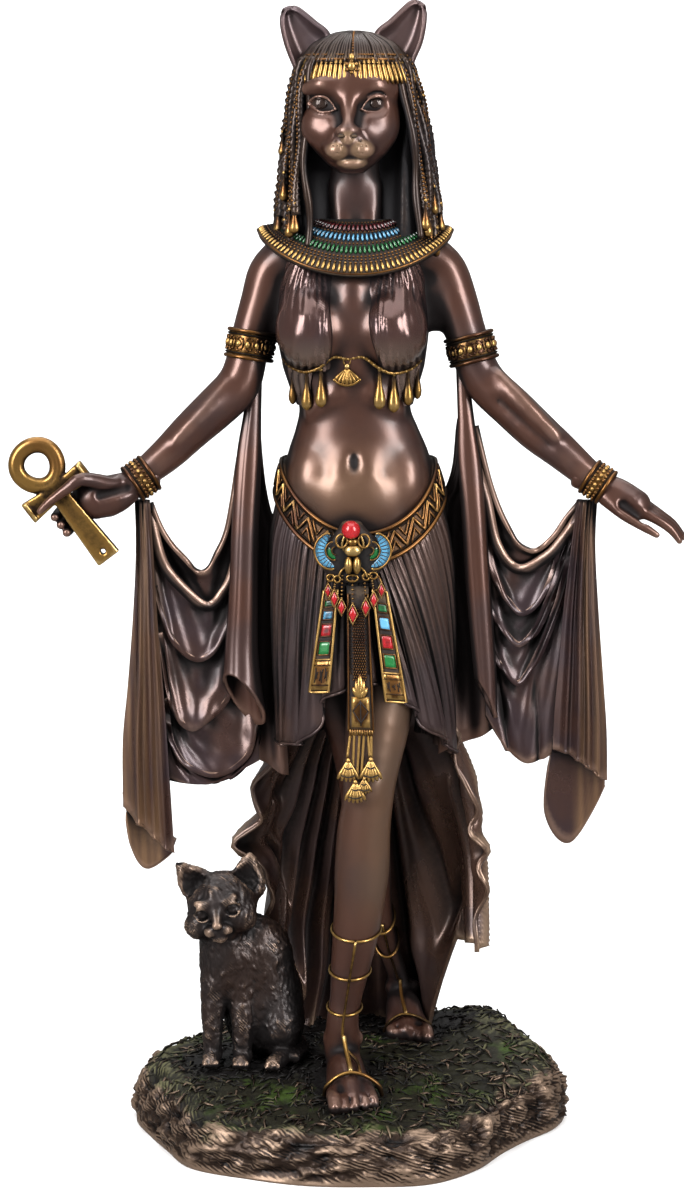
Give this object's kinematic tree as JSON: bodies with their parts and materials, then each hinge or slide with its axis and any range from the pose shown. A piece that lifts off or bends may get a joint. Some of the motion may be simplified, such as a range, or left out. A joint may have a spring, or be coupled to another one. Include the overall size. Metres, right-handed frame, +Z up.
{
  "type": "cat goddess figurine",
  "caption": "Standing cat-headed goddess in a pleated robe, holding an ankh, beside a seated kitten on a mossy rock base.",
  "frame": {"origin": "middle of the base's flat underside", "axes": "+Z up, the goddess faces -Y, +X to a front viewer's right"},
  "size_m": [0.15, 0.0871, 0.26],
  "materials": {
    "dark_bronze": "cold-cast bronze, dark brown with lighter worn highlights, satin",
    "fur_bronze": "the same bronze, darker, over fine fur",
    "mossy_rock": "dark bronze rock with dark green grass, rubbed bronze on the edges",
    "old_gold": "antique gold paint with a dark wash, satin",
    "red_enamel": "glossy red paint",
    "blue_enamel": "light blue paint",
    "green_enamel": "dark green paint"
  },
  "bodies": {
    "root": {"figure": "dark_bronze", "kitten": "fur_bronze", "rock_base": "mossy_rock", "ankh": "old_gold"}
  },
  "joints": []
}
